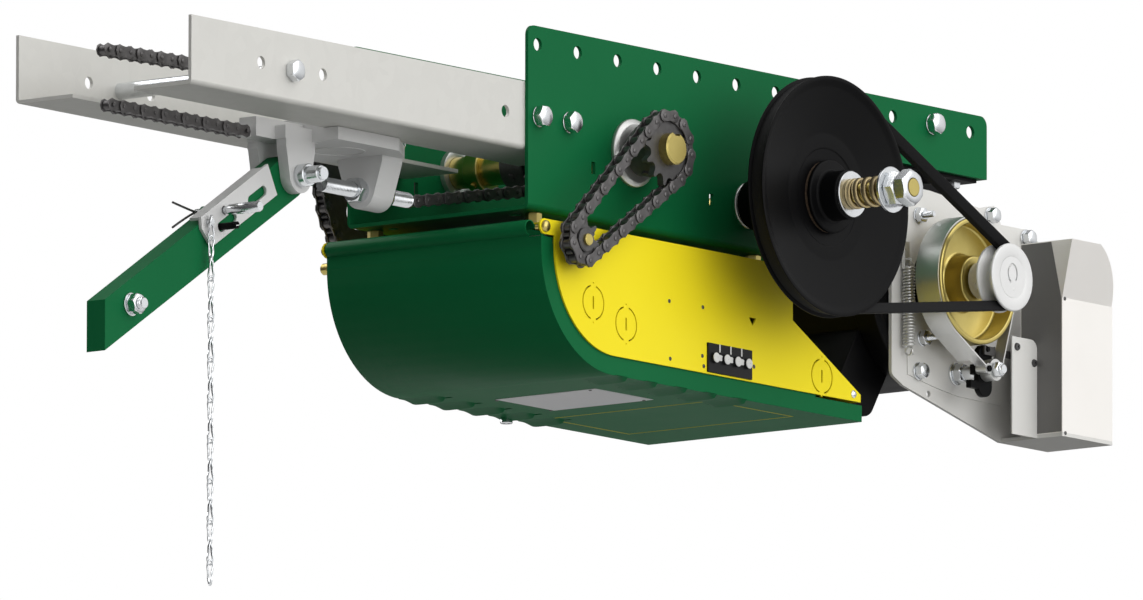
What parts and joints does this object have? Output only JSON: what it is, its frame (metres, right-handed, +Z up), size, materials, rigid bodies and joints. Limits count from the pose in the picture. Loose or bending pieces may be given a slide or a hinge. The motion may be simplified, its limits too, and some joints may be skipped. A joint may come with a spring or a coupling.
{
  "type": "commercial door operator",
  "caption": "Trolley door operator: channel frame with motor, belt, spring clutch, chain reduction, band brake, control box, rails, trolley, chain and door arm.",
  "frame": {"origin": "middle of the hanger hole row, on the frame's mid-plane", "axes": "+X along the rails towards the motor end, +Y away from the clutch side, +Z up"},
  "size_m": [1.0853, 0.4135, 0.4717],
  "materials": {
    "green_paint": "gloss",
    "yellow_paint": "gloss",
    "grey_paint": "satin",
    "black_paint": "gloss",
    "galvanised": "satin",
    "bright_steel": "satin",
    "dark_steel": "satin",
    "gold_zinc": "satin",
    "cast_grey": "satin",
    "black_rubber": "matte",
    "black_plastic": "matte",
    "component_plastic": "satin",
    "friction_lining": "matte"
  },
  "bodies": {
    "frame": {"chassis_frame": "green_paint", "near_rail": "galvanised", "far_rail": "galvanised", "frame_bolts": "bright_steel", "rail_spacer_tube": "galvanised", "drive_chain_upper": "dark_steel", "drive_chain_rear": "dark_steel", "shaft_bearings": "bright_steel", "limit_chain": "dark_steel", "limit_switches": "black_plastic", "reduction_chain": "dark_steel", "v_belt": "black_rubber", "motor_body": "black_paint", "capacitor_housing": "black_paint", "motor_mount": "black_paint", "motor_fasteners": "bright_steel", "brake_bracket": "grey_paint", "brake_band": "bright_steel", "brake_spring": "dark_steel", "brake_solenoid": "black_plastic", "solenoid_cover": "galvanised", "near_end_plate": "yellow_paint", "far_end_plate": "yellow_paint", "box_end_panel": "yellow_paint", "component_panel": "galvanised", "control_components": "component_plastic", "terminal_strip": "black_plastic", "box_fasteners": "bright_steel"},
    "trolley": {"trolley_body": "cast_grey", "arm_pivot_pin": "bright_steel", "take_up_bolt": "bright_steel", "drive_chain_front": "dark_steel"},
    "arm": {"door_arm": "green_paint", "arm_bolt": "bright_steel", "release_pin": "bright_steel", "latch_pins": "black_paint"},
    "latch": {"release_latch": "grey_paint"},
    "pull": {"pull_chain": "bright_steel"},
    "drive_line": {"drive_shaft": "gold_zinc", "drive_sprocket": "dark_steel", "limit_drive_sprocket": "dark_steel", "reduction_sprocket": "dark_steel"},
    "limit_line": {"limit_shaft": "bright_steel", "limit_sprocket": "dark_steel"},
    "limit_carriage": {"limit_nuts": "black_plastic"},
    "clutch_line": {"clutch_shaft": "gold_zinc", "clutch_sprocket": "dark_steel", "clutch_drive_hub": "black_paint", "clutch_linings": "friction_lining", "clutch_pressure_hub": "black_paint", "clutch_washers": "bright_steel", "clutch_spring": "bright_steel", "clutch_nuts": "bright_steel"},
    "clutch_wheel": {"clutch_pulley": "black_paint"},
    "motor_line": {"motor_shaft": "bright_steel", "motor_pulley": "cast_grey", "brake_drum": "gold_zinc"},
    "lever": {"brake_lever": "black_paint"},
    "plunger": {"solenoid_plunger": "black_paint"},
    "cover": {"box_cover": "green_paint"}
  },
  "joints": [
    {"name": "trolley_slide", "type": "slide", "parent": "frame", "child": "trolley", "axis": [1, 0, 0], "range_m": [-0.13, 0.06], "deforming": ["drive_chain_upper", "drive_chain_rear"]},
    {"name": "drive_shaft_spin", "type": "hinge", "parent": "frame", "child": "drive_line", "pos_m": [-0.1596, 0, -0.0708], "axis": [0, 1, 0], "range_deg": [-200, 400]},
    {"name": "limit_shaft_spin", "type": "hinge", "parent": "frame", "child": "limit_line", "pos_m": [-0.26657, 0, -0.15497], "axis": [0, 1, 0], "range_deg": [-300, 640], "deforming": ["limit_chain"]},
    {"name": "limit_nut_slide", "type": "slide", "parent": "frame", "child": "limit_carriage", "axis": [0, 1, 0], "range_m": [-0.004, 0.004]},
    {"name": "clutch_shaft_spin", "type": "hinge", "parent": "frame", "child": "clutch_line", "pos_m": [-0.01044, 0, -0.09416], "axis": [0, 1, 0], "range_deg": [-780, 1640], "deforming": ["reduction_chain"]},
    {"name": "clutch_pulley_spin", "type": "hinge", "parent": "frame", "child": "clutch_wheel", "pos_m": [-0.01044, 0, -0.09416], "axis": [0, 1, 0], "continuous": true, "deforming": ["v_belt"]},
    {"name": "motor_spin", "type": "hinge", "parent": "frame", "child": "motor_line", "pos_m": [0.2184, 0, -0.1311], "axis": [0, 1, 0], "continuous": true},
    {"name": "door_arm_swing", "type": "hinge", "parent": "trolley", "child": "arm", "pos_m": [-0.4869, 0, -0.1218], "axis": [0, 1, 0], "range_deg": [-45, 28]},
    {"name": "latch_turn", "type": "hinge", "parent": "arm", "child": "latch", "pos_m": [-0.57251, 0, -0.15836], "axis": [0, 1, 0], "range_deg": [-4, 0]},
    {"name": "pull_chain_swing", "type": "hinge", "parent": "latch", "child": "pull", "pos_m": [-0.59331, 0, -0.17036], "axis": [0, 1, 0], "range_deg": [-40, 40]},
    {"name": "brake_lever_turn", "type": "hinge", "parent": "frame", "child": "lever", "pos_m": [0.2429, 0, -0.1988], "axis": [0, 1, 0], "range_deg": [0, 6], "deforming": ["brake_band"]},
    {"name": "plunger_slide", "type": "slide", "parent": "frame", "child": "plunger", "axis": [1, 0, 0], "range_m": [0, 0.00178]},
    {"name": "cover_swing", "type": "hinge", "parent": "frame", "child": "cover", "pos_m": [-0.2939, 0, -0.1458], "axis": [0, 1, 0], "range_deg": [0, 80]}
  ],
  "couplings": [
    {"joint": "drive_shaft_spin", "follows": "trolley_slide", "rad_per_m": -49.474},
    {"joint": "limit_shaft_spin", "follows": "trolley_slide", "rad_per_m": -80.395},
    {"joint": "limit_nut_slide", "follows": "trolley_slide", "ratio": -0.020312},
    {"joint": "clutch_shaft_spin", "follows": "trolley_slide", "rad_per_m": -207.79},
    {"joint": "motor_spin", "follows": "clutch_pulley_spin", "ratio": 4.0741},
    {"joint": "brake_lever_turn", "follows": "plunger_slide", "rad_per_m": 58.824}
  ]
}
